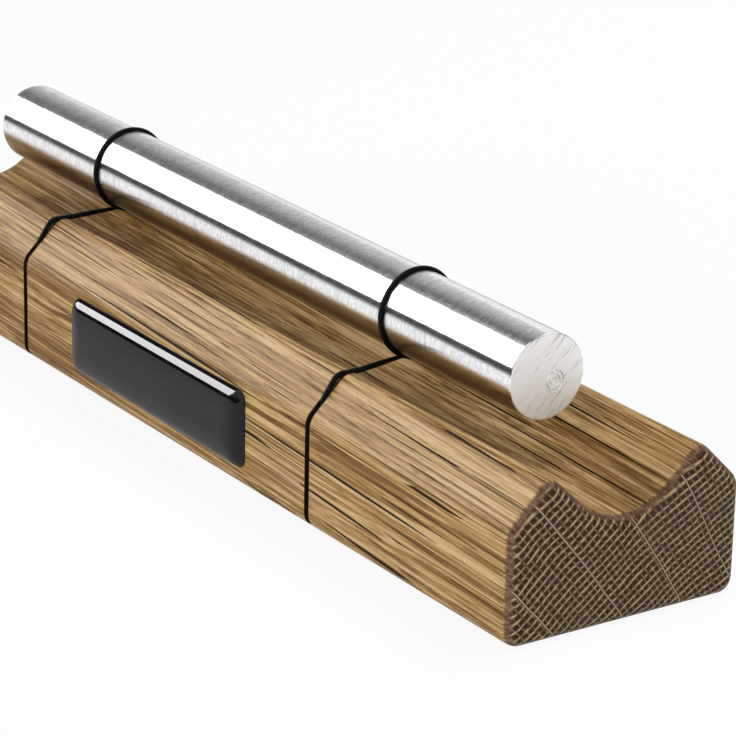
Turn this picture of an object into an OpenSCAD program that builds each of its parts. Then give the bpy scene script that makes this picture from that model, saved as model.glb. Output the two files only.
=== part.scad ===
// Chime bar: one tuned aluminium rod hung in two elastic cords over an oak block.
// Each cord lies in a saw kerf round the block, crosses the groove from ridge to ridge
// and makes one full turn round the rod. The label side is the front, at -Y.

/* [Oak block] */
// Length of the block
block_len = 217; // [190:1:260]
// Width of the block across its base
block_w = 46; // [44:0.5:54]
// Height of the upright sides, up to the chamfers
side_h = 20.1; // [19:0.1:22]
// Slope of the chamfers that rise from the sides to the ridges
chamfer_angle = 45; // [42:1:48]
// Height of the groove's floor above the base
groove_floor_h = 18.5; // [16:0.25:20]
// Radius of the groove's round floor
groove_r = 12; // [9:0.5:13]
// Slope of the groove's walls
groove_wall_angle = 43; // [40:1:46]
// Rounding of the block's bottom edges
base_edge_r = 3; // [2.5:0.25:4]
// Rounding between the sides and the chamfers
side_edge_r = 3; // [2.5:0.25:4]
// Rounding of the two ridges beside the groove
crest_edge_r = 2.5; // [2.5:0.1:3.5]
// Round-over of both end faces
end_edge_r = 2.3; // [1:0.1:2.4]

/* [Sounding bar] */
// Diameter of the aluminium rod
bar_d = 15; // [12:0.5:16]
// Length of the rod, which sets its note
bar_len = 173; // [140:1:200]
// Chamfer on the rod's sawn ends
bar_chamfer = 0.4; // [0.2:0.1:1]
// How far along X the rod hangs from the block's middle
bar_shift = -1; // [-3:0.5:3]

/* [Elastic cords] */
// Diameter of a cord
cord_d = 1; // [0.8:0.1:1.2]
// Distance between the two cords' kerfs, near the rod's still points
cord_gap = 99.5; // [90:0.5:110]
// Distance between the two ends of a cord's turn, along the rod
turn_pitch = 2.2; // [2:0.1:3]
// Where the right cord's turn lies along the rod, from its kerf
right_turn_shift = -1.8; // [-1.8:0.1:1.8]
// Where the left cord's turn lies along the rod, from its kerf
left_turn_shift = 0; // [-1.8:0.1:1.8]
// How far a cord dips from the ridges to the rod, by the rod's weight
cord_dip = 0.5; // [0.3:0.1:1]
// Room between a cord and what it lies against
cord_clear = 0.12; // [0.1:0.01:0.2]

/* [Saw kerfs] */
// Depth of a kerf in the block's sides
kerf_depth = 3.7; // [3:0.1:4]
// Depth of a kerf in the block's base
kerf_base_depth = 2.5; // [2.2:0.1:3]
// Depth of the notch that a kerf leaves in a ridge
notch_depth = 0.6; // [0.5:0.05:0.8]
// Room round a cord's knot, in the pocket that it lies in
pocket_room = 0.7; // [0.5:0.1:1.2]

/* [Label] */
// Length of the label
label_len = 60; // [50:1:62]
// Height of the label
label_h = 14.5; // [12:0.5:14.5]
// Radius of the label's corners
label_corner_r = 2; // [1.5:0.25:3]
// Height of the label's middle above the base
label_mid_h = 11.4; // [11:0.1:11.5]
// Thickness of the printed foil under the resin
foil_t = 0.2; // [0.1:0.05:0.4]
// Height of the resin at its middle
dome_h = 2; // [1.2:0.1:2.4]
// Distance from its edge in which the resin gains most of its height
dome_edge_w = 1.2; // [1:0.1:2]

/* [Hidden] */

// Steps of each rounded corner of the block's outline, and of the end round-over
base_steps = 6;
side_steps = 4;
crest_steps = 8;
groove_steps = 12;
end_steps = 6;
// Facets of the rod and the knots' pockets
rod_fn = 96;
pocket_fn = 48;
// Steps of each corner of the label, and of its resin from the edge to the flat middle
corner_steps = 8;
dome_steps = 8;
// Sides of a cord, the rings of its turn, and the steps of a bend
cord_sides = 8;
turn_rings = 22;
bend_steps = 3;
// Longest stretch between two rings of a cord, in diameters
ring_step = 3;
// A cord's tightest bend, in diameters
bend_ratio = 2;
// How far out from a ridge's top a cord turns down
ridge_lap = 2.2;
// The knot is a loop of three lobes that goes twice round a ring, in diameters of its cord
knot_lobes = 3;
knot_rounds = 2;
knot_ring_ratio = 1.75;
knot_wind_ratio = 0.8;
knot_rings = 48;
// Room between the knot and the two ends that run into it
knot_clear = 0.2;
// Points in each step of a cord's route, where its room to itself is measured, and how many
// steps apart two stretches of it lie at least
gap_steps = 5;
gap_skip = 7;
// Excess length of every cutter past the wood
over = 1;

// The outline of the block, seen from its right end, with its corners still sharp
chamfer_slope = tan(chamfer_angle);
wall_slope = tan(groove_wall_angle);
groove_apex_h = groove_floor_h - groove_r * (1 / cos(groove_wall_angle) - 1);
crest_y = (side_h + block_w / 2 * chamfer_slope - groove_apex_h) / (chamfer_slope + wall_slope);
crest_h = groove_apex_h + crest_y * wall_slope;
outline = [
    [-block_w / 2, 0], [block_w / 2, 0], [block_w / 2, side_h],
    [crest_y, crest_h], [0, groove_apex_h], [-crest_y, crest_h], [-block_w / 2, side_h]
];
outline_r = [
    base_edge_r, base_edge_r, side_edge_r, crest_edge_r, -groove_r, crest_edge_r, side_edge_r
];
outline_steps = [
    base_steps, base_steps, side_steps, crest_steps, groove_steps, crest_steps, side_steps
];

// Height of the rounded ridges, which the cords cross
crest_reach = crest_edge_r / cos((chamfer_angle + groove_wall_angle) / 2);
ridge_h = crest_h - crest_reach * cos((chamfer_angle - groove_wall_angle) / 2) + crest_edge_r;

// The route of a cord round the block, as seen from the right end
cord_r = cord_d / 2;
cord_off = cord_r + cord_clear;
bend_r = bend_ratio * cord_d;
run_y = block_w / 2 - kerf_depth + cord_off;
run_base_z = kerf_base_depth - cord_off;
run_exit_z = side_h + (block_w / 2 - run_y) * chamfer_slope;
run_ridge_y = crest_y + ridge_lap;
run_ridge_z = ridge_h - notch_depth + cord_off;
cord_outline = [
    [-run_y, run_base_z], [run_y, run_base_z], [run_y, run_exit_z],
    [run_ridge_y, run_ridge_z], [-run_ridge_y, run_ridge_z], [-run_y, run_exit_z]
];
kerf_w = cord_d + 2 * cord_clear;

// The turn round the rod, and the height at which it holds the rod
turn_r = bar_d / 2 + cord_off;
bar_h = run_ridge_z - cord_dip + turn_r;
dip_a = asin(turn_r / norm([run_ridge_y, bar_h - run_ridge_z]))
    - atan2(bar_h - run_ridge_z, run_ridge_y);
turn_start = -90 - dip_a;
turn_sweep = 360 + 2 * dip_a;
turn_touch = [turn_r * sin(dip_a), bar_h - turn_r * cos(dip_a)];

// The knot, and the pocket that it lies in
knot_ring_r = knot_ring_ratio * cord_d;
knot_wind_r = knot_wind_ratio * cord_d;
knot_reach = knot_ring_r + knot_wind_r + cord_r;
pocket_r = knot_reach + pocket_room;
pocket_depth = 2 * (knot_wind_r + cord_r + pocket_room);

// True where the way along a and then b turns to the left
function turns_left(a, b) = a[0] * b[1] - a[1] * b[0] > 0;
function unit(v) = v / norm(v);
function pick(list, i) = list[(i + len(list)) % len(list)];

// The point where the two sides of a corner meet once both are moved in by d
function inset_corner(a, b, c, d) =
    let (u = unit(b - a), v = unit(c - b), n = [-u[1], u[0]], m = [-v[1], v[0]])
    b + d * (n + m) / (1 + n * m);

// An arc of radius r in the corner a, b, c, as steps + 1 points
function corner_arc(a, b, c, r, steps) =
    let (
        u = unit(a - b), v = unit(c - b), half = acos(u * v) / 2,
        mid = b + unit(u + v) * r / sin(half),
        sweep = (180 - 2 * half) * (turns_left(b - a, c - b) ? 1 : -1),
        from = b + u * r / tan(half) - mid, a0 = atan2(from[1], from[0])
    )
    [for (k = [0:steps]) mid + r * [cos(a0 + sweep * k / steps), sin(a0 + sweep * k / steps)]];

// A closed outline moved in by d, with its corners rounded; a negative radius is a hollow corner
function rounded(corners, radii, steps, d) =
    let (moved = [for (i = [0:len(corners) - 1])
        inset_corner(pick(corners, i - 1), corners[i], pick(corners, i + 1), d)])
    [for (i = [0:len(corners) - 1]) each
        corner_arc(pick(moved, i - 1), moved[i], pick(moved, i + 1), abs(radii[i] - d), steps[i])];

// The straight way from a to b, in even steps no longer than a cord's ring step
function straight(a, b) =
    let (count = max(1, ceil(norm(b - a) / (ring_step * cord_d))))
    [for (k = [1:count - 1]) a + (b - a) * k / count];

// One half of a cord's route, from its knot up to the rod, on the side that side_sign gives. It
// stays in the plane of its kerf up to the ridge's inner lip, and slants to turn_x from there.
function half_route(x, turn_x, side_sign) =
    let (
        end = [knot_reach + knot_clear, run_base_z],
        base = corner_arc(end, cord_outline[1], cord_outline[2], bend_r, bend_steps),
        exit = corner_arc(cord_outline[1], cord_outline[2], cord_outline[3], bend_r, bend_steps),
        ridge = corner_arc(cord_outline[2], cord_outline[3], turn_touch, bend_r, bend_steps),
        top = ridge[bend_steps],
        lip = top + (turn_touch - top) * (top[0] - crest_y + ridge_lap) / (top[0] - turn_touch[0]),
        in_kerf = concat(
            [end], straight(end, base[0]), base, straight(base[bend_steps], exit[0]),
            exit, straight(exit[bend_steps], ridge[0]), ridge, straight(top, lip), [lip]
        ),
        to_3d = function (p, px) [px, p[0] * side_sign, p[1]]
    )
    concat(
        [for (p = in_kerf) to_3d(p, x)],
        [for (p = straight(lip, turn_touch))
            to_3d(p, x + (turn_x - x) * norm(p - lip) / norm(turn_touch - lip))]
    );

// The turn round the rod, from under it up the back, over and down the front
function turn_route(x_in, x_out) =
    [for (k = [0:turn_rings])
        let (a = turn_start + turn_sweep * k / turn_rings)
        [x_in + (x_out - x_in) * k / turn_rings, turn_r * cos(a), bar_h + turn_r * sin(a)]];

function reversed(list) = [for (i = [len(list) - 1:-1:0]) list[i]];

// The whole route of the cord in the kerf at x, from the knot's front to its back
function cord_route(x, shift) =
    let (x_in = x + shift - turn_pitch / 2, x_out = x + shift + turn_pitch / 2)
    concat(
        half_route(x, x_in, -1),
        turn_route(x_in, x_out),
        reversed(half_route(x, x_out, 1))
    );

// Rings of a tube along an open route that never runs along X
function tube_rings(route, r, sides) =
    [for (i = [0:len(route) - 1])
        let (
            t = unit(route[min(i + 1, len(route) - 1)] - route[max(i - 1, 0)]),
            a = unit([1, 0, 0] - t[0] * t), b = cross(t, a)
        )
        each [for (k = [0:sides - 1]) route[i] + r * (cos(360 * k / sides) * a + sin(360 * k / sides) * b)]];

// Side faces that join each ring of n points to the next
function skin_faces(rings, n, closed) =
    [for (i = [0:rings - (closed ? 1 : 2)], k = [0:n - 1])
        let (a = i * n + k, b = i * n + (k + 1) % n, step = (i + 1) % rings * n)
        each [[a, b, step + (k + 1) % n], [a, step + (k + 1) % n, step + k]]];

module tube(route, r, sides) {
    last = (len(route) - 1) * sides;
    polyhedron(
        points = tube_rings(route, r, sides),
        faces = concat(
            skin_faces(len(route), sides, false),
            [[for (k = [sides - 1:-1:0]) k], [for (k = [0:sides - 1]) last + k]]
        )
    );
}

// The way out from the knot's middle at angle a, the outward normal of the ring that the
// knot is wound on, and a point of its route
function knot_in_plane(a) = [cos(knot_rounds * a), sin(knot_rounds * a), 0];
function knot_out(a) = cos(knot_lobes * a) * knot_in_plane(a) + [0, 0, sin(knot_lobes * a)];
function knot_point(a) = knot_ring_r * knot_in_plane(a) + knot_wind_r * knot_out(a);
knot_route = [for (i = [0:knot_rings - 1]) knot_point(360 * i / knot_rings)];

// The knot that ties the cord's two ends, one unbroken tube with three lobes
module knot() {
    points = [for (i = [0:knot_rings - 1])
        let (
            t = unit(pick(knot_route, i + 1) - pick(knot_route, i - 1)),
            a = knot_out(360 * i / knot_rings), b = cross(t, a)
        )
        each [for (k = [0:cord_sides - 1])
            knot_route[i] + cord_r * (cos(360 * k / cord_sides) * a + sin(360 * k / cord_sides) * b)]];
    polyhedron(points = points, faces = skin_faces(knot_rings, cord_sides, true));
}

// The least room between two stretches of a route that lie gap_skip or more steps apart
function least_gap(route, loop) =
    let (
        count = len(route) - (loop ? 0 : 1),
        points = [for (i = [0:count - 1], k = [0:gap_steps - 1])
            route[i] + (pick(route, i + 1) - route[i]) * k / gap_steps],
        n = len(points)
    )
    min([for (i = [0:n - 1], j = [i + gap_skip * gap_steps:1:n - 1])
        if (!loop || n - j + i > gap_skip * gap_steps) norm(points[i] - points[j])]) - cord_d;

// Turns a drawing on the XY plane up into the YZ plane and centres its thickness on X
module across(thickness) {
    rotate([90, 0, 90]) translate([0, 0, -thickness / 2]) linear_extrude(thickness) children();
}

// The planed and rounded bar of oak, lofted from its outline
module block_blank() {
    ends = [for (k = [0:end_steps])
        let (a = 90 * k / end_steps)
        [block_len / 2 - end_edge_r * (1 - cos(a)), end_edge_r * (1 - sin(a))]];
    stations = concat([for (e = ends) [-e[0], e[1]]], reversed(ends));
    rings = [for (s = stations)
        [for (p = rounded(outline, outline_r, outline_steps, s[1])) [s[0], p[0], p[1]]]];
    n = len(rings[0]);
    last = (len(stations) - 1) * n;
    mids = [for (side = [-1, 1]) [side * block_len / 2, 0, groove_floor_h / 2]];
    polyhedron(
        points = concat([for (r = rings) each r], mids),
        faces = concat(
            [for (f = skin_faces(len(stations), n, false)) reversed(f)],
            [for (k = [0:n - 1]) [last + n, k, (k + 1) % n]],
            [for (k = [0:n - 1]) [last + n + 1, last + (k + 1) % n, last + k]]
        )
    );
}

// What the saw takes away for one cord: all that lies outside the cord's own route
module kerf() {
    across(kerf_w) difference() {
        translate([-block_w / 2 - over, -over]) square([block_w + 2 * over, ridge_h + 2 * over]);
        polygon(rounded(cord_outline, [for (c = cord_outline) bend_r],
            [for (c = cord_outline) bend_steps], cord_off));
    }
    translate([0, 0, -over]) cylinder(r = pocket_r, h = pocket_depth + over, $fn = pocket_fn);
}

module oak_block() {
    color("peru") difference() {
        block_blank();
        for (x = [-cord_gap / 2, cord_gap / 2]) translate([x, 0, 0]) kerf();
    }
}

module chime_bar() {
    end = bar_len / 2;
    color("gainsboro") translate([bar_shift, 0, bar_h]) rotate([0, 90, 0]) rotate_extrude($fn = rod_fn)
        polygon([
            [0, -end], [bar_d / 2 - bar_chamfer, -end], [bar_d / 2, -end + bar_chamfer],
            [bar_d / 2, end - bar_chamfer], [bar_d / 2 - bar_chamfer, end], [0, end]
        ]);
}

module cord(x, shift) {
    color("dimgray") {
        tube(cord_route(x, shift), cord_r, cord_sides);
        translate([x, 0, pocket_depth / 2]) knot();
    }
}

module right_cord() {
    cord(cord_gap / 2, right_turn_shift);
}

module left_cord() {
    cord(-cord_gap / 2, left_turn_shift);
}

// Places a label layer on the front, with its back face off out from the wood
module on_front(off) {
    translate([0, -block_w / 2 - off, label_mid_h]) rotate([90, 0, 0]) children();
}

// The label's outline moved in by d, with its corners as round as the foil's
function label_outline(d) =
    let (x = label_len / 2, y = label_h / 2)
    rounded([[x, -y], [x, y], [-x, y], [-x, -y]], [for (i = [0:3]) label_corner_r + d],
        [for (i = [0:3]) corner_steps], d);

module label_backing() {
    color("black") on_front(0) linear_extrude(foil_t) polygon(label_outline(0));
}

// The poured resin: it rises steeply from the foil's edge and levels out to a flat middle
module label_dome() {
    flat_in = 0.95 * (label_h / 2 - label_corner_r);
    insets = [for (k = [0:dome_steps]) flat_in * pow(k / dome_steps, 2)];
    full = 1 - exp(-flat_in / dome_edge_w);
    rings = [for (d = insets)
        [for (p = label_outline(d)) [p[0], p[1], dome_h * (1 - exp(-d / dome_edge_w)) / full]]];
    n = len(rings[0]);
    last = dome_steps * n;
    color("darkslategray") on_front(foil_t) polyhedron(
        points = concat([for (r = rings) each r]),
        faces = concat(
            [for (f = skin_faces(len(rings), n, false)) reversed(f)],
            [[for (k = [0:n - 1]) k], [for (k = [n - 1:-1:0]) last + k]]
        )
    );
}

echo(right_cord_gap = least_gap(cord_route(0, right_turn_shift), false));
echo(left_cord_gap = least_gap(cord_route(0, left_turn_shift), false));
echo(knot_gap = least_gap(knot_route, true));
echo(ridge_height = ridge_h, bar_height = bar_h, cord_rings = len(cord_route(0, 0)));

oak_block();
chime_bar();
right_cord();
left_cord();
label_backing();
label_dome();
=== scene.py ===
import math

import bmesh
import bpy
from mathutils import Matrix, Vector


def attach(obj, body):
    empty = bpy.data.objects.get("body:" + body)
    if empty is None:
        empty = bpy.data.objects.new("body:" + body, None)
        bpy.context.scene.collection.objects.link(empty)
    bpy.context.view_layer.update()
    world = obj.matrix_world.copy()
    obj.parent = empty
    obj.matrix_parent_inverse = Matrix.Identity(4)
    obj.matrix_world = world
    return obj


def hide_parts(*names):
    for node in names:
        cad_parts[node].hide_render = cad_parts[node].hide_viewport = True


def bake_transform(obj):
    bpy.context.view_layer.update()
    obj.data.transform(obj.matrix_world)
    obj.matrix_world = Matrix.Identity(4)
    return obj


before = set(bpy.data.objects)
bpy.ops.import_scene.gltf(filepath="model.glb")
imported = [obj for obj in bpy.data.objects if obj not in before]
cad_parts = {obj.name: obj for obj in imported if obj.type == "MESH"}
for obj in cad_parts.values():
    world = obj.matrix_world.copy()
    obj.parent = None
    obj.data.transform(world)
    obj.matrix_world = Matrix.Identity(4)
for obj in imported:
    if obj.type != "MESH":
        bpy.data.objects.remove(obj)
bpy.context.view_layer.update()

bpy.ops.object.select_all(action="DESELECT")

# OAK BLOCK
# One length of oiled oak, planed to a seven-sided outline with a hollow groove along its top.
# Its long edges are rounded with a router bit and both end faces with a smaller one.

BLOCK_LENGTH = 0.217
BLOCK_WIDTH = 0.046
SIDE_HEIGHT = 0.0201
CHAMFER_ANGLE = math.radians(45)
WALL_ANGLE = math.radians(43)
GROOVE_RADIUS = 0.012
GROOVE_FLOOR = 0.0185
BASE_ROUNDING = 0.003
SIDE_ROUNDING = 0.003
RIDGE_ROUNDING = 0.0025
END_ROUNDING = 0.0023
TINY = 0.00001

groove_apex = GROOVE_FLOOR - GROOVE_RADIUS * (1 / math.cos(WALL_ANGLE) - 1)
ridge_y = (SIDE_HEIGHT + BLOCK_WIDTH / 2 * math.tan(CHAMFER_ANGLE) - groove_apex) / (
    math.tan(CHAMFER_ANGLE) + math.tan(WALL_ANGLE))
ridge_z = groove_apex + ridge_y * math.tan(WALL_ANGLE)


def open_primitive(name):
    """Names the primitive just added, sets its place into its mesh and opens it for editing."""
    piece = bpy.context.object
    piece.name = piece.data.name = name
    bpy.ops.object.transform_apply(location=True, rotation=True, scale=True)
    bpy.ops.object.mode_set(mode="EDIT")
    return piece


def choose(kind, wanted):
    """Selects only the VERT, EDGE or FACE parts of the open mesh that are wanted."""
    bpy.ops.mesh.select_mode(type=kind)
    bpy.ops.mesh.select_all(action="DESELECT")
    data = bpy.context.edit_object.data
    mesh = bmesh.from_edit_mesh(data)
    mesh.normal_update()
    parts = {"VERT": mesh.verts, "EDGE": mesh.edges, "FACE": mesh.faces}[kind]
    for part in parts:
        if wanted(part):
            part.select_set(True)
    mesh.select_flush_mode()
    bmesh.update_edit_mesh(data)


def lies_along(edge, y, z):
    """True for an edge that runs along X at this y and z."""
    return all(abs(v.co.y - y) < TINY and abs(v.co.z - z) < TINY for v in edge.verts)


def round_edges(places, radius, turn, steps):
    """Rounds the edges along X at these places, where the surface turns by this angle."""
    choose("EDGE", lambda e: any(lies_along(e, y, z) for y, z in places))
    bpy.ops.mesh.bevel(offset_type="OFFSET", offset=radius * math.tan(turn / 2),
                       segments=steps, profile=0.5, affect="EDGES", clamp_overlap=False)


def close_mesh(piece, angle):
    """Ends editing: smooth shading up to this angle, with the flat faces kept flat."""
    bpy.ops.object.mode_set(mode="OBJECT")
    bpy.ops.object.select_all(action="DESELECT")
    piece.select_set(True)
    bpy.context.view_layer.objects.active = piece
    bpy.ops.object.shade_smooth_by_angle(angle=math.radians(angle))
    piece.modifiers.new("flat_faces", "WEIGHTED_NORMAL").keep_sharp = True
    bpy.ops.object.modifier_apply(modifier="flat_faces")
    bpy.ops.object.select_all(action="DESELECT")


def cut_away(piece, cutter):
    """Cuts the shape of the cutter out of the piece, and throws the cutter away."""
    cut = piece.modifiers.new("cut", "BOOLEAN")
    cut.operation = "DIFFERENCE"
    cut.solver = "EXACT"
    cut.object = cutter
    bpy.context.view_layer.objects.active = piece
    bpy.ops.object.modifier_apply(modifier="cut")
    bpy.data.objects.remove(cutter)


bpy.ops.mesh.primitive_cube_add(size=1, location=(0, 0, ridge_z / 2),
                                scale=(BLOCK_LENGTH, BLOCK_WIDTH, ridge_z))
block = open_primitive("oak_body")
for y in (-ridge_y, 0, ridge_y):
    bpy.ops.mesh.select_all(action="SELECT")
    bpy.ops.mesh.bisect(plane_co=(0, y, 0), plane_no=(0, 1, 0))
choose("VERT", lambda v: v.co.z > ridge_z - TINY and abs(v.co.y) > ridge_y + TINY)
bpy.ops.transform.translate(value=(0, 0, SIDE_HEIGHT - ridge_z))
choose("VERT", lambda v: v.co.z > ridge_z - TINY and abs(v.co.y) < TINY)
bpy.ops.transform.translate(value=(0, 0, groove_apex - ridge_z))
bpy.ops.mesh.select_all(action="SELECT")
bpy.ops.mesh.dissolve_limited(angle_limit=math.radians(1))
both = (-1, 1)
round_edges([(s * BLOCK_WIDTH / 2, 0) for s in both], BASE_ROUNDING, math.radians(90), 8)
round_edges([(s * BLOCK_WIDTH / 2, SIDE_HEIGHT) for s in both], SIDE_ROUNDING,
            CHAMFER_ANGLE, 6)
round_edges([(s * ridge_y, ridge_z) for s in both], RIDGE_ROUNDING,
            CHAMFER_ANGLE + WALL_ANGLE, 12)
round_edges([(0, groove_apex)], GROOVE_RADIUS, 2 * WALL_ANGLE, 24)
choose("FACE", lambda f: abs(f.normal.x) > 0.99)
bpy.ops.mesh.bevel(offset_type="OFFSET", offset=END_ROUNDING, segments=8, profile=0.5,
                   affect="EDGES", clamp_overlap=False)
bpy.ops.object.mode_set(mode="OBJECT")

# SAW KERFS AND KNOT POCKETS
# A saw cuts two kerfs round the block, deep in its sides and base and as notches in its ridges.
# Each one runs under the block into a pocket, bored with a flat bit, for the cord's knot.

CORD_DIAMETER = 0.001
CORD_ROOM = 0.00012
KERF_PLACES = (0.04975, -0.04975)
KERF_DEPTH = 0.0037
KERF_BASE_DEPTH = 0.0025
NOTCH_DEPTH = 0.0006
RIDGE_LAP = 0.0022
CORE_LENGTH = 0.004
CORE_ROUNDING = 0.0007
POCKET_RADIUS = 0.00375
POCKET_DEPTH = 0.004
POCKET_ROUNDING = 0.0003
SAW_OVERRUN = 0.002
BIT_START = 0.002

cord_radius = CORD_DIAMETER / 2
cord_offset = cord_radius + CORD_ROOM
bend_radius = 2 * CORD_DIAMETER
ridge_reach = RIDGE_ROUNDING / math.cos((CHAMFER_ANGLE + WALL_ANGLE) / 2)
ridge_top = (ridge_z + RIDGE_ROUNDING
             - ridge_reach * math.cos((CHAMFER_ANGLE - WALL_ANGLE) / 2))
side_run = BLOCK_WIDTH / 2 - KERF_DEPTH + cord_offset
base_run = KERF_BASE_DEPTH - cord_offset
exit_z = SIDE_HEIGHT + (BLOCK_WIDTH / 2 - side_run) * math.tan(CHAMFER_ANGLE)
notch_y = ridge_y + RIDGE_LAP
notch_z = ridge_top - NOTCH_DEPTH + cord_offset

slant = Vector((0, notch_y - side_run, notch_z - exit_z)).normalized()
outward = Vector((0, slant.z, -slant.y))

for x in KERF_PLACES:
    low, high = KERF_BASE_DEPTH, notch_z - cord_offset
    inner = side_run - cord_offset
    bpy.ops.mesh.primitive_cube_add(size=1, location=(x, 0, (low + high) / 2),
                                    scale=(CORE_LENGTH, 2 * inner, high - low))
    core = open_primitive("kerf_core")
    for s in both:
        face = Vector((0, s * outward.y, outward.z))
        middle = Vector((x, s * notch_y, notch_z)) - cord_offset * face
        bpy.ops.mesh.select_all(action="SELECT")
        bpy.ops.mesh.bisect(plane_co=middle, plane_no=face, use_fill=True, clear_outer=True)
    choose("EDGE", lambda e: abs(e.verts[0].co.x - e.verts[1].co.x) > CORE_LENGTH / 2)
    bpy.ops.mesh.bevel(offset_type="OFFSET", offset=CORE_ROUNDING, segments=6, profile=0.5,
                       affect="EDGES", clamp_overlap=False)
    bpy.ops.object.mode_set(mode="OBJECT")

    bpy.ops.mesh.primitive_cube_add(
        size=1, location=(x, 0, ridge_z / 2),
        scale=(CORD_DIAMETER + 2 * CORD_ROOM, BLOCK_WIDTH + 2 * SAW_OVERRUN,
               ridge_z + 2 * SAW_OVERRUN))
    plate = open_primitive("kerf_plate")
    bpy.ops.object.mode_set(mode="OBJECT")
    cut_away(plate, core)
    cut_away(block, plate)

    bpy.ops.mesh.primitive_cylinder_add(vertices=64, radius=POCKET_RADIUS,
                                        depth=POCKET_DEPTH + BIT_START,
                                        location=(x, 0, (POCKET_DEPTH - BIT_START) / 2))
    pocket = open_primitive("pocket_cutter")
    choose("FACE", lambda f: f.normal.z > 0.99)
    bpy.ops.mesh.bevel(offset_type="OFFSET", offset=POCKET_ROUNDING, segments=2, profile=0.5,
                       affect="EDGES")
    bpy.ops.object.mode_set(mode="OBJECT")
    cut_away(block, pocket)

bpy.context.view_layer.objects.active = block
bpy.ops.object.mode_set(mode="EDIT")
close_mesh(block, 32)


def colour(code):
    """A colour as a shader takes it, from its six-figure code."""
    parts = [int(code[i:i + 2], 16) / 255 for i in (0, 2, 4)]
    return [c / 12.92 if c < 0.04045 else ((c + 0.055) / 1.055) ** 2.4 for c in parts] + [1]


def step(tree, kind, sockets=(), **settings):
    """Adds a shader node; sockets gives its inputs, by name or number, as values or links."""
    made = tree.nodes.new("ShaderNode" + kind)
    for name, value in settings.items():
        setattr(made, name, value)
    for key, value in dict(sockets).items():
        if isinstance(value, bpy.types.NodeSocket):
            tree.links.new(value, made.inputs[key])
        else:
            made.inputs[key].default_value = value
    return made


def calc(tree, operation, *values):
    """One sum on numbers, each a value or a link."""
    return step(tree, "Math", enumerate(values), operation=operation).outputs[0]


def ease(tree, value, start, end, low=0.0, high=1.0):
    """A smooth step from low to high as the value goes from start to end."""
    sockets = {"Value": value, "From Min": start, "From Max": end,
               "To Min": low, "To Max": high}
    return step(tree, "MapRange", sockets, interpolation_type="SMOOTHSTEP").outputs[0]


def mix(tree, factor, first, second):
    """One colour over another, by a factor."""
    sockets = {0: factor, 6: first, 7: second}
    return step(tree, "Mix", sockets, data_type="RGBA").outputs[2]


def stretched(tree, place, scale):
    """A place with each of its axes scaled, to draw a pattern out along the grain."""
    sockets = {"Vector": place, "Scale": scale}
    return step(tree, "Mapping", sockets).outputs[0]


def cloudy(tree, place, scale, detail, rough=0.5):
    """Noise from 0 to 1 at a place whose axes are scaled."""
    sockets = {"Vector": stretched(tree, place, scale), "Scale": 1.0, "Detail": detail,
               "Roughness": rough}
    return step(tree, "TexNoise", sockets).outputs[0]


def new_finish(name):
    """An empty material with its tree and its output."""
    made = bpy.data.materials.new(name)
    made.use_nodes = True
    made.node_tree.nodes.clear()
    return made, made.node_tree, step(made.node_tree, "OutputMaterial")


def ramp(tree, value, stops):
    """Colours that follow each other as the value goes up: pairs of a place and a colour."""
    made = step(tree, "ValToRGB", {0: value})
    pegs = made.color_ramp.elements
    while len(pegs) < len(stops):
        pegs.new(0.5)
    for peg, (place, code) in zip(pegs, stops):
        peg.position = place
        peg.color = colour(code)
    return made.outputs[0]


def ray_layer(tree, polar, scale, thin, reach_out):
    """Dark lenses in the wood: each lies along the grain, thin and drawn to a point."""
    grid = stretched(tree, polar, scale)
    cells = step(tree, "TexVoronoi", {"Vector": grid, "Scale": 1.0, "Randomness": 0.9})
    gap = step(tree, "VectorMath", {0: grid, 1: cells.outputs["Position"]},
               operation="SUBTRACT").outputs[0]
    gap_u, _, gap_a = step(tree, "SeparateXYZ", {0: gap}).outputs[:3]
    tint = step(tree, "SeparateColor", {0: cells.outputs["Color"]}).outputs
    half_span = ease(tree, tint[1], 0, 1, 0.2, reach_out)
    span = calc(tree, "POWER", calc(tree, "DIVIDE", gap_u, half_span), 2)
    width = calc(tree, "DIVIDE", calc(tree, "ABSOLUTE", gap_a), thin)
    lens = calc(tree, "SUBTRACT", 1.0, calc(tree, "ADD", span, width))
    edge = cloudy(tree, polar, (120, 500, 2200), 2)
    lens = calc(tree, "ADD", lens,
                calc(tree, "MULTIPLY", calc(tree, "SUBTRACT", edge, 0.5), 0.5))
    return calc(tree, "MULTIPLY", ease(tree, lens, 0.0, 0.14), ease(tree, tint[0], 0.22, 0.32))


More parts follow.
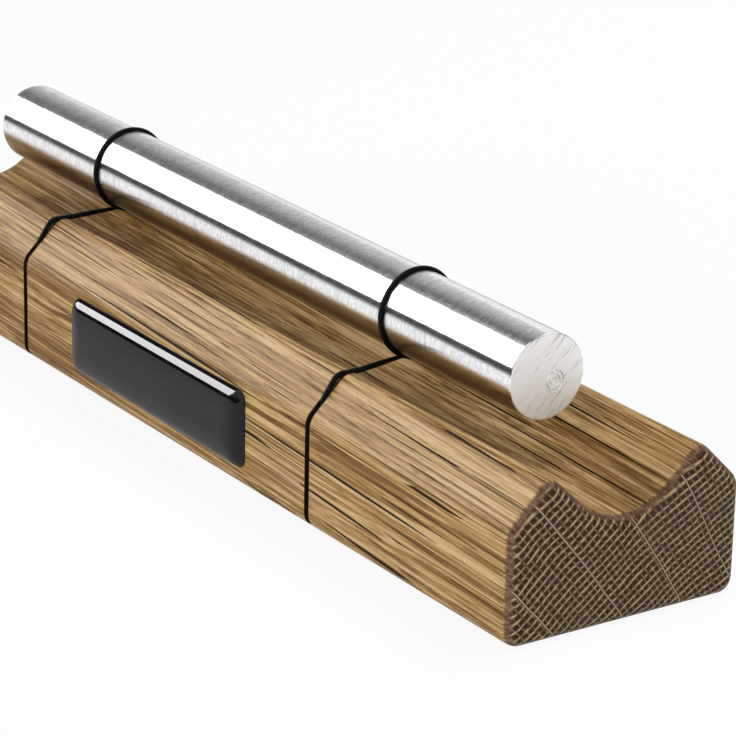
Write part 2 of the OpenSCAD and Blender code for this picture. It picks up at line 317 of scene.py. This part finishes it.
def oak_finish():
    """Oiled oak as a solid: rings round a heart outside the block, rays and open pores."""
    ring_width, half_round = 0.0016, 0.14
    made, tree, end = new_finish("oiled_oak_grain")
    here = step(tree, "TexCoord")
    along = step(tree, "Mapping", {
        "Vector": here.outputs["Object"], "Location": (0.21, -0.077, 0.0923),
        "Rotation": (0, math.radians(-1.8), math.radians(0.9))}).outputs[0]
    u, v, w = step(tree, "SeparateXYZ", {0: along}).outputs[:3]
    sway = cloudy(tree, along, (9, 60, 60), 2)
    sway = calc(tree, "MULTIPLY", calc(tree, "SUBTRACT", sway, 0.5), 0.003)
    flat = step(tree, "CombineXYZ", {1: v, 2: w}).outputs[0]
    reach = step(tree, "VectorMath", {0: flat}, operation="LENGTH").outputs["Value"]
    reach = calc(tree, "ADD", reach, sway)
    arc = calc(tree, "MULTIPLY", calc(tree, "ARCTAN2", w, v), half_round)
    arc = calc(tree, "ADD", arc, calc(tree, "MULTIPLY", sway, 0.5))
    polar = step(tree, "CombineXYZ", {0: u, 1: reach, 2: arc}).outputs[0]

    # Growth rings, each with its open, darker early wood
    ring = calc(tree, "FRACT", calc(tree, "DIVIDE", reach, ring_width))
    early = ease(tree, calc(tree, "ABSOLUTE", calc(tree, "SUBTRACT", ring, 0.5)), 0.4, 0.1)

    # Rays: thin upright plates that run out from the heart, long along the grain
    ray = calc(tree, "MAXIMUM", ray_layer(tree, polar, (16, 14, 300), 0.062, 0.62),
               calc(tree, "MULTIPLY", ray_layer(tree, polar, (30, 30, 430), 0.05, 0.6), 0.75))
    ray = calc(tree, "MULTIPLY", ray, ease(tree, u, 0.12, 0.22, 0.45, 1))

    # Pores: short dark dashes along the grain
    pore = step(tree, "TexVoronoi", {
        "Vector": stretched(tree, polar, (230, 3600, 3200)), "Scale": 1.0,
        "Randomness": 1.0}).outputs["Distance"]
    pore = calc(tree, "MULTIPLY", ease(tree, pore, 0.34, 0.1), ease(tree, early, 0, 1, 0.3))

    # Broad and fine streaks of tone
    broad = cloudy(tree, polar, (5, 420, 330), 2)
    narrow = cloudy(tree, polar, (9, 2100, 1900), 4, 0.62)
    fibre = cloudy(tree, polar, (90, 7500, 7500), 2)
    tone = calc(tree, "ADD", calc(tree, "MULTIPLY", broad, 0.22),
                calc(tree, "MULTIPLY", narrow, 0.78))
    tone = calc(tree, "ADD", tone, calc(tree, "MULTIPLY", early, -0.03))
    # Painted shade: the wood is darkened toward the left end
    tone = calc(tree, "ADD", tone, ease(tree, u, 0.1, 0.26, -0.045, 0))
    tone = calc(tree, "ADD", tone, calc(
        tree, "MULTIPLY", calc(tree, "SUBTRACT", fibre, 0.5), 0.3))
    long_wood = ramp(tree, ease(tree, tone, 0.35, 0.63), [
        (0.0, "6a4a22"), (0.25, "8f6c3c"), (0.5, "ab8955"), (0.75, "bd9c6b"), (1.0, "cfb184")])
    rosy = cloudy(tree, polar, (14, 200, 300), 2)
    long_wood = mix(tree, ease(tree, rosy, 0.5, 0.7, 0, 0.22), long_wood, colour("94704f"))
    long_wood = mix(tree, calc(tree, "MULTIPLY", pore, 0.42), long_wood, colour("4a3019"))
    long_wood = mix(tree, calc(tree, "MULTIPLY", ray, 0.97), long_wood, colour("1d120a"))

    # End grain: a pale net round the rings' dark pores, crossed by a few long rays
    face = step(tree, "CombineXYZ", {0: reach, 1: arc}).outputs[0]
    lines = []
    for across, size, bend, thin in ((reach, 0.00125, (700, 240, 1), 0.15),
                                     (arc, 0.0012, (400, 500, 1), 0.12)):
        waver = calc(tree, "MULTIPLY", calc(
            tree, "SUBTRACT", cloudy(tree, face, bend, 2), 0.5), 0.36)
        row = calc(tree, "FRACT", calc(tree, "ADD", calc(tree, "DIVIDE", across, size), waver))
        off = calc(tree, "ABSOLUTE", calc(tree, "SUBTRACT", row, 0.5))
        fade = ease(tree, cloudy(tree, face, (1700, 1100, 1), 2), 0.32, 0.6, 0.2, 1)
        lines.append(calc(tree, "MULTIPLY", ease(tree, off, thin + 0.1, thin - 0.1), fade))
    net = calc(tree, "MAXIMUM", lines[0], calc(tree, "MULTIPLY", lines[1], 0.38))
    end_wood = mix(tree, net, colour("37271c"), colour("c8ac84"))
    aged = cloudy(tree, along, (90, 90, 90), 2)
    end_wood = mix(tree, ease(tree, aged, 0.45, 0.7, 0, 0.2), end_wood, colour("6b594a"))
    long_ray = calc(tree, "ABSOLUTE", calc(tree, "SUBTRACT", calc(
        tree, "FRACT", calc(tree, "DIVIDE", calc(tree, "ADD", arc, 0.0035), 0.0115)), 0.5))
    end_wood = mix(tree, ease(tree, long_ray, 0.024, 0.012), end_wood, colour("2a1e18"))
    end_wood = mix(tree, ease(tree, long_ray, 0.014, 0.005), end_wood, colour("baa890"))
    facing = step(tree, "SeparateXYZ", {0: here.outputs["Normal"]}).outputs[0]
    facing = calc(tree, "ABSOLUTE", facing)
    edge_wood = mix(tree, ease(tree, narrow, 0.4, 0.62, 0, 0.6), colour("4d3a36"),
                    colour("7a6154"))
    wood = mix(tree, ease(tree, facing, 0.14, 0.45, 0, 0.85), long_wood, edge_wood)
    wood = mix(tree, ease(tree, facing, 0.55, 0.9), wood, end_wood)

    # Painted shade: the kerf walls and a thin strip along each kerf's edges are darkened, except
    # in the groove
    x, y = step(tree, "SeparateXYZ", {0: here.outputs["Object"]}).outputs[:2]
    from_kerf = calc(tree, "ABSOLUTE", calc(
        tree, "SUBTRACT", calc(tree, "ABSOLUTE", x), KERF_PLACES[0]))
    kerf_shade = calc(tree, "MULTIPLY", ease(tree, from_kerf, 0.0009, 0.0006), calc(
        tree, "GREATER_THAN", calc(tree, "ABSOLUTE", y), ridge_y - RIDGE_LAP))
    wood = mix(tree, kerf_shade, wood, colour("2a1c12"))

    dents = calc(tree, "ADD", calc(tree, "MULTIPLY", pore, -0.7),
                 calc(tree, "MULTIPLY", ray, -0.6))
    dents = calc(tree, "ADD", dents, calc(tree, "MULTIPLY", fibre, 0.35))
    relief = step(tree, "Bump", {"Height": dents, "Strength": 0.6, "Distance": 0.00012})
    rough = ease(tree, calc(tree, "ADD", narrow, ray), 0.3, 1.2, 0.45, 0.8)
    skin = step(tree, "BsdfPrincipled", {
        "Base Color": wood, "Roughness": rough, "Normal": relief.outputs[0],
        "Specular IOR Level": 0.08})
    tree.links.new(skin.outputs[0], end.inputs[0])
    return made


block.data.materials.append(oak_finish())
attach(block, "block")
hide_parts("oak_block")

# LABEL FOIL
# A thin printed plastic foil, stuck to the middle of the front side. It is left blank.
# Only its edge shows, as a black line under the resin.


def foil_finish():
    """Black foil with the faint grain of its print."""
    made, tree, end = new_finish("black_foil")
    here = step(tree, "TexCoord").outputs["Object"]
    print_grain = cloudy(tree, here, (2500, 2500, 2500), 2)
    ink = mix(tree, print_grain, colour("08080a"), colour("1a1a1d"))
    relief = step(tree, "Bump", {"Height": print_grain, "Strength": 0.3, "Distance": 0.00003})
    skin = step(tree, "BsdfPrincipled", {
        "Base Color": ink, "Roughness": ease(tree, print_grain, 0, 1, 0.35, 0.55),
        "Normal": relief.outputs[0]})
    tree.links.new(skin.outputs[0], end.inputs[0])
    return made


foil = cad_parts["label_backing"]
foil.material_slots[0].material = foil_finish()

# RESIN DOME
# Clear hard resin poured over the dark foil. It draws up into a round rim and a low crown.

LABEL_LENGTH = 0.06
LABEL_HEIGHT = 0.0145
LABEL_CORNER = 0.002
LABEL_MIDDLE = 0.0114
FOIL_THICKNESS = 0.0002
DOME_HEIGHT = 0.002
DOME_RIM = 0.0006
DOME_CROWN = 0.0022
DOME_FLAT_SHARE = 0.95
DOME_STEPS = 26

foil_face = -BLOCK_WIDTH / 2 - FOIL_THICKNESS
sliver = 0.00001
bpy.ops.mesh.primitive_cube_add(size=1, location=(0, foil_face - sliver / 2, LABEL_MIDDLE),
                                scale=(LABEL_LENGTH, sliver, LABEL_HEIGHT))
dome = open_primitive("resin_dome")
choose("EDGE", lambda e: abs(e.verts[0].co.y - e.verts[1].co.y) > sliver / 2)
bpy.ops.mesh.bevel(offset_type="OFFSET", offset=LABEL_CORNER, segments=12, profile=0.5,
                   affect="EDGES")
choose("FACE", lambda f: f.normal.y < -0.9)
flat_in = DOME_FLAT_SHARE * (LABEL_HEIGHT / 2 - LABEL_CORNER)


def dome_rise(way_in):
    """How the resin stands this far in from its edge: a tight rim that runs into a low crown."""
    return 2 - 0.95 * math.exp(-way_in / DOME_RIM) - 1.05 * math.exp(-way_in / DOME_CROWN)


inset, rise = 0.0, sliver
for k in range(1, DOME_STEPS + 1):
    next_inset = flat_in * (k / DOME_STEPS) ** 2
    next_rise = DOME_HEIGHT * dome_rise(next_inset) / dome_rise(flat_in)
    bpy.ops.mesh.extrude_region_move(
        TRANSFORM_OT_translate={"value": (0, rise - max(next_rise, rise), 0)})
    bpy.ops.transform.resize(
        value=((LABEL_LENGTH / 2 - next_inset) / (LABEL_LENGTH / 2 - inset), 1,
               (LABEL_HEIGHT / 2 - next_inset) / (LABEL_HEIGHT / 2 - inset)),
        center_override=(0, 0, LABEL_MIDDLE))
    inset, rise = next_inset, max(next_rise, rise)
close_mesh(dome, 60)


def handling_group():
    """A shared group: the faint smears and fine scratches that hands leave on a hard surface."""
    tree = bpy.data.node_groups.new("handling_marks", "ShaderNodeTree")
    plan = tree.interface
    plan.new_socket("Place", in_out="INPUT", socket_type="NodeSocketVector")
    plan.new_socket("Smear Size", in_out="INPUT", socket_type="NodeSocketFloat")
    plan.new_socket("Scratch Share", in_out="INPUT", socket_type="NodeSocketFloat")
    plan.new_socket("Marks", in_out="OUTPUT", socket_type="NodeSocketFloat")
    into = tree.nodes.new("NodeGroupInput")
    out = tree.nodes.new("NodeGroupOutput")
    size = calc(tree, "DIVIDE", 1.0, into.outputs["Smear Size"])
    smear = step(tree, "TexNoise", {
        "Vector": into.outputs["Place"], "Scale": size, "Detail": 3.0,
        "Distortion": 0.8}).outputs[0]
    fine = step(tree, "TexNoise", {
        "Vector": stretched(tree, into.outputs["Place"], (260, 3200, 2400)),
        "Scale": 1.0, "Detail": 2.0}).outputs[0]
    fine = calc(tree, "MULTIPLY", ease(tree, fine, 0.66, 0.74), into.outputs["Scratch Share"])
    both_marks = calc(tree, "ADD", ease(tree, smear, 0.35, 0.7), fine)
    tree.links.new(both_marks, out.inputs["Marks"])
    return tree


handling = handling_group()


def marks(tree, place, size, scratches):
    """Places the shared handling marks in a material, with this finish's own values."""
    made = step(tree, "Group", node_tree=handling)
    tree.links.new(place, made.inputs["Place"])
    made.inputs["Smear Size"].default_value = size
    made.inputs["Scratch Share"].default_value = scratches
    return made.outputs["Marks"]


def resin_finish():
    """Resin over charcoal print: a dark body under a clear, hard, glossy coat."""
    made, tree, end = new_finish("charcoal_resin")
    here = step(tree, "TexCoord").outputs["Object"]
    deep = cloudy(tree, here, (60, 60, 160), 2)
    body = mix(tree, ease(tree, deep, 0.3, 0.7), colour("090a0d"), colour("121418"))
    worn = marks(tree, here, 0.012, 0.25)
    waves = cloudy(tree, here, (220, 220, 220), 1)
    relief = step(tree, "Bump", {"Height": waves, "Strength": 0.12, "Distance": 0.0001})
    skin = step(tree, "BsdfPrincipled", {
        "Base Color": body, "Roughness": ease(tree, worn, 0, 1.2, 0.3, 0.4),
        "Normal": relief.outputs[0], "Specular IOR Level": 0.0, "Coat Weight": 0.49,
        "Coat Roughness": 0.055, "Coat IOR": 1.52})
    tree.links.new(skin.outputs[0], end.inputs[0])
    return made


dome.data.materials.append(resin_finish())
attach(dome, "block")
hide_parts("label_dome")

# ALUMINIUM ROD
# The sounding bar: solid aluminium rod, ground bright, sawn to its note and broken at its edges.
# Each end keeps the small off-centre mark that the parting tool left.

ROD_DIAMETER = 0.015
ROD_LENGTH = 0.173
ROD_SHIFT = -0.001
ROD_EDGE = 0.0004
CORD_DIP = 0.0005
MARK_RADIUS = 0.0019
MARK_OFF_CENTRE = (0.0015, -0.0009)
MARK_RINGS = ((0.0001, -0.00012), (0.00022, 0), (0.0001, 0.0001), (0.00035, 0),
              (0.0001, -0.00012), (0.0002, 0), (0.0001, 0.00012), (0.0004, -0.0001))

turn_radius = ROD_DIAMETER / 2 + cord_offset
rod_z = notch_z - CORD_DIP + turn_radius
bpy.ops.mesh.primitive_cylinder_add(
    vertices=192, radius=ROD_DIAMETER / 2, depth=ROD_LENGTH, end_fill_type="NGON",
    location=(ROD_SHIFT, 0, rod_z), rotation=(0, math.pi / 2, 0))
rod = open_primitive("aluminium_rod")
choose("FACE", lambda f: abs(f.normal.x) > 0.9)
bpy.ops.mesh.bevel(offset_type="OFFSET", offset=ROD_EDGE, segments=4, profile=0.5,
                   affect="EDGES")
for s in both:
    choose("FACE", lambda f: f.normal.x * s > 0.99)
    bpy.ops.mesh.inset(thickness=ROD_DIAMETER / 2 - ROD_EDGE - MARK_RADIUS, depth=0)
    bpy.ops.transform.translate(value=(0, MARK_OFF_CENTRE[0] * s, MARK_OFF_CENTRE[1]))
    for width, depth in MARK_RINGS:
        bpy.ops.mesh.inset(thickness=width, depth=depth)
close_mesh(rod, 24)


def aluminium_finish():
    """Ground aluminium: fine rings round the rod, with a little grit."""
    made, tree, end = new_finish("ground_aluminium")
    here = step(tree, "Mapping", {
        "Vector": step(tree, "TexCoord").outputs["Object"],
        "Location": (0, 0, -rod_z)}).outputs[0]
    rings = cloudy(tree, here, (4200, 700, 700), 3, 0.65)
    bands = cloudy(tree, here, (900, 60, 60), 2)
    grit = cloudy(tree, here, (4200, 2200, 2200), 2, 0.7)
    turned = calc(tree, "ADD", calc(tree, "MULTIPLY", rings, 0.5),
                  calc(tree, "MULTIPLY", grit, 0.5))
    metal = mix(tree, ease(tree, turned, 0.38, 0.6), colour("dadcde"), colour("fdfdfd"))
    metal = mix(tree, ease(tree, bands, 0.45, 0.7, 0, 0.2), metal, colour("b4b6bb"))
    worn = marks(tree, here, 0.02, 0.5)
    rough = calc(tree, "ADD", ease(tree, turned, 0.3, 0.7, 0.15, 0.21),
                 calc(tree, "MULTIPLY", worn, 0.02))
    relief = step(tree, "Bump", {"Height": turned, "Strength": 0.17, "Distance": 0.00002})
    skin = step(tree, "BsdfPrincipled", {
        "Base Color": metal, "Metallic": 1.0, "Roughness": rough,
        "Normal": relief.outputs[0], "Anisotropic": 0.94, "Anisotropic Rotation": 0.25})
    turn = step(tree, "Tangent", direction_type="RADIAL", axis="X")
    tree.links.new(turn.outputs[0], skin.inputs["Tangent"])
    tree.links.new(skin.outputs[0], end.inputs[0])
    return made


def saw_cut_finish():
    """Sawn aluminium: bright, with the blade's marks in slanting streaks."""
    made, tree, end = new_finish("saw_cut_aluminium")
    here = step(tree, "TexCoord").outputs["Object"]
    slope = step(tree, "Mapping", {
        "Vector": here, "Location": (0, 0, -rod_z), "Rotation": (math.radians(44), 0, 0)})
    sawn = cloudy(tree, slope.outputs[0], (0, 3600, 160), 4, 0.65)
    wide = cloudy(tree, slope.outputs[0], (0, 500, 130), 2)
    deep = calc(tree, "MULTIPLY", ease(tree, sawn, 0.52, 0.66), ease(tree, wide, 0.45, 0.62))
    metal = mix(tree, deep, colour("fdfdfd"), colour("a2a09f"))
    metal = mix(tree, ease(tree, sawn, 0.35, 0.65, 0, 0.15), metal, colour("dcdcde"))
    relief = step(tree, "Bump", {"Height": sawn, "Strength": 0.25, "Distance": 0.00003})
    skin = step(tree, "BsdfPrincipled", {
        "Base Color": metal, "Metallic": 1.0, "Roughness": ease(tree, sawn, 0, 1, 0.46, 0.62),
        "Normal": relief.outputs[0]})
    tree.links.new(skin.outputs[0], end.inputs[0])
    return made


rod.data.materials.append(aluminium_finish())
rod.data.materials.append(saw_cut_finish())
bpy.context.view_layer.objects.active = rod
bpy.ops.object.mode_set(mode="EDIT")
choose("FACE", lambda f: abs(f.normal.x) > 0.8)
rod.active_material_index = 1
bpy.ops.object.material_slot_assign()
bpy.ops.object.mode_set(mode="OBJECT")
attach(rod, "bar")
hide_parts("chime_bar")

# ELASTIC CORDS
# Two black elastic cords in a woven sheath carry the rod near its still points. Each leaves its
# knot, lies in the kerf round the block, is pressed flat in one full turn round the rod, and
# comes back.

TURN_PITCH = 0.0022
TURN_SHIFTS = {"right": -0.0018, "left": 0.0}
TURN_RINGS = 96
BEND_STEPS = 8
CORD_SIDES = 16
CORD_FLAT = 0.68
FLAT_BEGINS = 0.008
FLAT_ENDS = 0.003
KNOT_LOBES = 3
KNOT_ROUNDS = 2
KNOT_RINGS = 144

knot_ring = 1.75 * CORD_DIAMETER
knot_wind = 0.8 * CORD_DIAMETER
dip_angle = math.asin(turn_radius / math.hypot(notch_y, rod_z - notch_z)) - math.atan2(
    rod_z - notch_z, notch_y)
grip = ROD_DIAMETER / 2 + CORD_FLAT * cord_radius
touch = Vector((grip * math.sin(dip_angle), rod_z - grip * math.cos(dip_angle)))


def bend(before, corner, after):
    """The points of an arc of the cord's bend radius, in the corner of three points."""
    u, v = (before - corner).normalized(), (after - corner).normalized()
    half = u.angle(v) / 2
    middle = corner + (u + v).normalized() * bend_radius / math.sin(half)
    first = corner + u * bend_radius / math.tan(half) - middle
    way = math.copysign(math.pi - 2 * half, (corner - before).cross(after - corner))
    turned = []
    for k in range(BEND_STEPS + 1):
        a = way * k / BEND_STEPS
        turned.append(middle + Vector((first.x * math.cos(a) - first.y * math.sin(a),
                                       first.x * math.sin(a) + first.y * math.cos(a))))
    return turned


def straight(a, b, gap=1.2 * CORD_DIAMETER):
    """Points on the way from a to b, without its ends."""
    count = max(2, math.ceil((b - a).length / gap))
    return [a + (b - a) * k / count for k in range(1, count)]


def half_run(kerf_x, turn_x, side):
    """From the knot, along the base and up the side of the block, over the ridge to the rod."""
    start = Vector((knot_ring + knot_wind, base_run))
    low, high = Vector((side_run, base_run)), Vector((side_run, exit_z))
    ridge = Vector((notch_y, notch_z))
    foot, shoulder, top = bend(start, low, high), bend(low, high, ridge), bend(high, ridge, touch)
    lip = top[-1] + (touch - top[-1]) * (top[-1].x - ridge_y + RIDGE_LAP) / (
        top[-1].x - touch.x)
    in_kerf = ([start] + straight(start, foot[0]) + foot + straight(foot[-1], shoulder[0])
               + shoulder + straight(shoulder[-1], top[0]) + top + straight(top[-1], lip)
               + [lip])
    slanted = straight(lip, touch, 0.8 * CORD_DIAMETER)
    route = [Vector((kerf_x, side * p.x, p.y)) for p in in_kerf]
    for p in slanted:
        share = (p - lip).length / (touch - lip).length
        route.append(Vector((kerf_x + (turn_x - kerf_x) * share, side * p.x, p.y)))
    return route


def full_turn(x_in, x_out):
    """One turn round the rod, from under it up the back, over and down the front."""
    first, sweep = -math.pi / 2 - dip_angle, 2 * math.pi + 2 * dip_angle
    route = []
    for k in range(TURN_RINGS + 1):
        a = first + sweep * k / TURN_RINGS
        route.append(Vector((x_in + (x_out - x_in) * k / TURN_RINGS,
                             grip * math.cos(a), rod_z + grip * math.sin(a))))
    return route


def sleeve(name, centres, sides_out, ways, heights=None, closed=False):
    """A tube of the cord's size through these rings, with its length and its round as UV.

    Where a height is under 1, the cord is pressed that flat.
    """
    points, faces, spots = [], [], []
    lengths = [0.0]
    for a, b in zip(centres, centres[1:] + centres[:1]):
        lengths.append(lengths[-1] + (b - a).length / (math.pi * CORD_DIAMETER))
    for middle, out, way, height in zip(centres, sides_out, ways, heights or [1] * len(ways)):
        across = way.cross(out) * height
        for k in range(CORD_SIDES):
            a = 2 * math.pi * k / CORD_SIDES
            points.append(middle + cord_radius * (math.cos(a) * out + math.sin(a) * across))
    rings = len(centres)
    for i in range(rings if closed else rings - 1):
        for k in range(CORD_SIDES):
            j, n = (i + 1) % rings, (k + 1) % CORD_SIDES
            faces.append((i * CORD_SIDES + k, i * CORD_SIDES + n,
                          j * CORD_SIDES + n, j * CORD_SIDES + k))
            low, high = k / CORD_SIDES, (k + 1) / CORD_SIDES
            spots.append(((lengths[i], low), (lengths[i], high),
                          (lengths[i + 1], high), (lengths[i + 1], low)))
    if not closed:
        faces.append(tuple(reversed(range(CORD_SIDES))))
        faces.append(tuple(range((rings - 1) * CORD_SIDES, rings * CORD_SIDES)))
        spots += [((0, 0),) * CORD_SIDES, ((lengths[-1], 0),) * CORD_SIDES]
    mesh = bpy.data.meshes.new(name)
    mesh.from_pydata(points, [], faces)
    layer = mesh.uv_layers.new(name="along_cord")
    for polygon, corners in zip(mesh.polygons, spots):
        polygon.use_smooth = len(corners) == 4
        for loop, spot in zip(polygon.loop_indices, corners):
            layer.data[loop].uv = spot
    made = bpy.data.objects.new(name, mesh)
    bpy.context.scene.collection.objects.link(made)
    return made


def cord_finish():
    """Black woven sheath: two sets of strands that cross, with a little dust in between."""
    made, tree, end = new_finish("black_elastic")
    spot = step(tree, "UVMap", uv_map="along_cord").outputs[0]
    u, v, _ = step(tree, "SeparateXYZ", {0: spot}).outputs[:3]
    weave = []
    for way in both:
        turned = calc(tree, "ADD", calc(tree, "MULTIPLY", u, 5.0),
                      calc(tree, "MULTIPLY", v, 6.0 * way))
        wave = calc(tree, "SINE", calc(tree, "MULTIPLY", turned, 2 * math.pi))
        weave.append(ease(tree, wave, -0.7, 0.8))
    height = calc(tree, "MAXIMUM", weave[0], weave[1])
    here = step(tree, "TexCoord").outputs["Object"]
    fluff = cloudy(tree, here, (3500, 3500, 3500), 2)
    thread = mix(tree, height, colour("030303"), colour("121213"))
    thread = mix(tree, ease(tree, fluff, 0.6, 0.8, 0, 0.25), thread, colour("2a2a2c"))
    relief = step(tree, "Bump", {"Height": height, "Strength": 0.7, "Distance": 0.00008})
    skin = step(tree, "BsdfPrincipled", {
        "Base Color": thread, "Roughness": ease(tree, height, 0, 1, 0.75, 0.5),
        "Normal": relief.outputs[0], "Specular IOR Level": 0.07})
    tree.links.new(skin.outputs[0], end.inputs[0])
    return made


black_elastic = cord_finish()
along_x = Vector((1, 0, 0))
for (name, shift), kerf_x in zip(TURN_SHIFTS.items(), KERF_PLACES):
    x_in, x_out = kerf_x + shift - TURN_PITCH / 2, kerf_x + shift + TURN_PITCH / 2
    front, turn = half_run(kerf_x, x_in, -1), full_turn(x_in, x_out)
    back = half_run(kerf_x, x_out, 1)[::-1]
    route = front + turn + back
    ways = [(b - a).normalized() for a, b in zip(route[:1] + route[:-1], route[1:] + route[-1:])]
    outs = [(along_x - way.x * way).normalized() for way in ways]
    pressed = [(FLAT_BEGINS - abs(p.y)) / (FLAT_BEGINS - FLAT_ENDS) for p in front]
    into_turn = [1 - (1 - CORD_FLAT) * min(1, max(0, share)) for share in pressed]
    heights = into_turn + [CORD_FLAT] * len(turn) + into_turn[::-1]
    turns_at, leaves_at = len(front), len(front) + len(turn) - 1
    stretches = (("front_run", 0, turns_at, -1), ("turn", turns_at, leaves_at, 0),
                 ("back_run", leaves_at, len(route) - 1, 1))
    for label, start, last, side in stretches:
        cut_out = slice(start, last + 1)
        piece = sleeve(f"{name}_cord_{label}", route[cut_out], outs[cut_out], ways[cut_out],
                       heights[cut_out])
        piece.data.materials.append(black_elastic)
        if side:
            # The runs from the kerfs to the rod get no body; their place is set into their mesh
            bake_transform(piece)
        else:
            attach(piece, "suspension")
        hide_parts(f"{name}_cord")

    # The knot that ties its two ends: a loop of three lobes, tucked up in the pocket
    centres, outs = [], []
    for k in range(KNOT_RINGS):
        a = 2 * math.pi * k / KNOT_RINGS
        plane = Vector((math.cos(KNOT_ROUNDS * a), math.sin(KNOT_ROUNDS * a), 0))
        out = math.cos(KNOT_LOBES * a) * plane + Vector((0, 0, math.sin(KNOT_LOBES * a)))
        outs.append(out)
        centres.append(Vector((kerf_x, 0, POCKET_DEPTH / 2)) + knot_ring * plane
                       + knot_wind * out)
    ways = [(b - a).normalized() for a, b in zip(centres[-1:] + centres[:-1],
                                                 centres[1:] + centres[:1])]
    knot = sleeve(f"{name}_cord_knot", centres, outs, ways, closed=True)
    knot.data.materials.append(black_elastic)
    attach(knot, "block")
    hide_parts(f"{name}_cord")

# TABLE
# A plain white table top under the block. It shows white to the camera and to the bright metal,
# and keeps the block's shadow.

bpy.ops.mesh.primitive_plane_add(size=8, location=(0, 0, 0))
table = bpy.context.object
table.name = "table_top"


def table_finish():
    """White card, lifted to white where the camera, gloss and clear pieces see it."""
    made, tree, end = new_finish("white_card")
    paper = step(tree, "BsdfDiffuse", {"Color": (0.86, 0.86, 0.86, 1)})
    white = step(tree, "Emission", {"Color": (1, 1, 1, 1), "Strength": 1.0})
    path = step(tree, "LightPath").outputs
    seen = calc(tree, "MAXIMUM", path["Is Glossy Ray"], path["Is Transmission Ray"])
    seen = calc(tree, "MAXIMUM", calc(tree, "MULTIPLY", path["Is Camera Ray"], 0.92),
                calc(tree, "MULTIPLY", seen, 0.98))
    both_ways = step(tree, "MixShader", {0: seen, 1: paper.outputs[0], 2: white.outputs[0]})
    tree.links.new(both_ways.outputs[0], end.inputs[0])
    return made


table.data.materials.append(table_finish())

# STUDIO
# Three softboxes: a large one above and behind, one in front and one beyond the right end.
# Cards that only gloss sees give the rod its bands from every side and the label its bright edge.


def softbox(name, place, target, size, power):
    """An even square lamp that faces its target."""
    lamp = bpy.data.lights.new(name, "AREA")
    lamp.shape = "RECTANGLE"
    lamp.size, lamp.size_y = size
    lamp.energy = power
    made = bpy.data.objects.new(name, lamp)
    made.location = place
    made.rotation_euler = (Vector(target) - Vector(place)).to_track_quat("-Z", "Y").to_euler()
    made.visible_camera = made.visible_glossy = False
    bpy.context.scene.collection.objects.link(made)


softbox("overhead_softbox", (0.1, 0.5, 1.1), (0, 0, 0), (0.6, 0.6), 10.8)
softbox("front_softbox", (0.05, -1.25, 0.27), (0, 0, 0.01), (0.6, 0.5), 10.3)
softbox("end_softbox", (1.3, -0.35, 0.5), (0, 0, 0.01), (0.8, 0.8), 4.5)


def card(name, place, size, turn, low, high):
    """A grey card that only gloss sees; its tone goes from low to high along Y."""
    bpy.ops.mesh.primitive_plane_add(size=1, location=place, rotation=turn)
    made = bpy.context.object
    made.name = name
    made.scale = (size[0], size[1], 1)
    bpy.ops.object.transform_apply(location=True, rotation=True, scale=True)
    grey, tree, end = new_finish(name + "_grey")
    y = step(tree, "SeparateXYZ", {0: step(tree, "TexCoord").outputs["Object"]}).outputs[1]
    tone = ease(tree, y, place[1] - size[1] / 2, place[1] + size[1] / 2, low, high)
    paint = step(tree, "Emission", {"Color": (1, 1, 1, 1), "Strength": tone})
    tree.links.new(paint.outputs[0], end.inputs[0])
    made.data.materials.append(grey)
    made.visible_camera = made.visible_diffuse = made.visible_shadow = False


quarter = math.pi / 2
card("bright_card", (-3.6, -1.92, 1.9), (2.49, 2.16), (0, quarter, 0), 20, 20)
card("back_card", (-1.25, 0.35, 1.3), (2.0, 1.25), (0, quarter, 0), 0.07, 0.58)
card("top_card", (-0.3, 0.35, 2.3), (1.9, 1.25), (0, 0, 0), 0.07, 0.58)
card("low_card", (-0.35, -0.215, 0.044), (0.9, 0.07), (quarter, 0, 0), 0.02, 0.02)
card("far_card", (-0.8, 0.76, 0.0005), (1.6, 1.46), (0, 0, 0), 0.42, 0.42)
card("front_card", (0.3, -2.2, 0.65), (2.6, 1.3), (quarter, 0, 0), 0.3, 0.3)
card("rear_card", (0.3, 2.4, 0.75), (2.6, 1.5), (quarter, 0, 0), 0.3, 0.3)
card("right_card", (2.4, 0, 0.7), (1.4, 1.4), (0, quarter, 0), 0.5, 1.0)
card("left_card", (-3.6, 0.1, 0.6), (1.2, 1.8), (0, quarter, 0), 0.3, 0.75)
card("high_card", (1.25, 0.35, 1.3), (2.0, 1.25), (0, quarter, 0), 0.07, 0.58)

world = bpy.data.worlds.new("studio_air")
bpy.context.scene.world = world
world.use_nodes = True
world.node_tree.nodes.clear()
tree = world.node_tree
path = step(tree, "LightPath").outputs
seen = calc(tree, "MAXIMUM", path["Is Camera Ray"], calc(
    tree, "MAXIMUM", path["Is Glossy Ray"], path["Is Transmission Ray"]))
air = step(tree, "Background", {"Color": (1, 1, 1, 1), "Strength": 0.06})
white = step(tree, "Background", {"Color": (1, 1, 1, 1), "Strength": 1.0})
air = step(tree, "MixShader", {0: seen, 1: air.outputs[0], 2: white.outputs[0]})
sky = step(tree, "OutputWorld")
tree.links.new(air.outputs[0], sky.inputs[0])

# CAMERA
# A long lens from the front right, a little above the block.

bearing, height_angle, roll = math.radians(55.845), math.radians(20.027), math.radians(1.236)
lens = bpy.data.cameras.new("long_lens")
lens.lens = 168.2417
lens.sensor_width = 36
lens.clip_start, lens.clip_end = 0.01, 20
camera = bpy.data.objects.new("long_lens", lens)
bpy.context.scene.collection.objects.link(camera)
camera.matrix_world = Matrix.Translation((0.5028027, -0.3183161, 0.2266811)) @ (
    Matrix.Rotation(bearing, 4, "Z") @ Matrix.Rotation(math.pi / 2 - height_angle, 4, "X")
    @ Matrix.Rotation(roll, 4, "Z"))
bpy.context.scene.camera = camera
bpy.context.scene.view_settings.view_transform = "Standard"
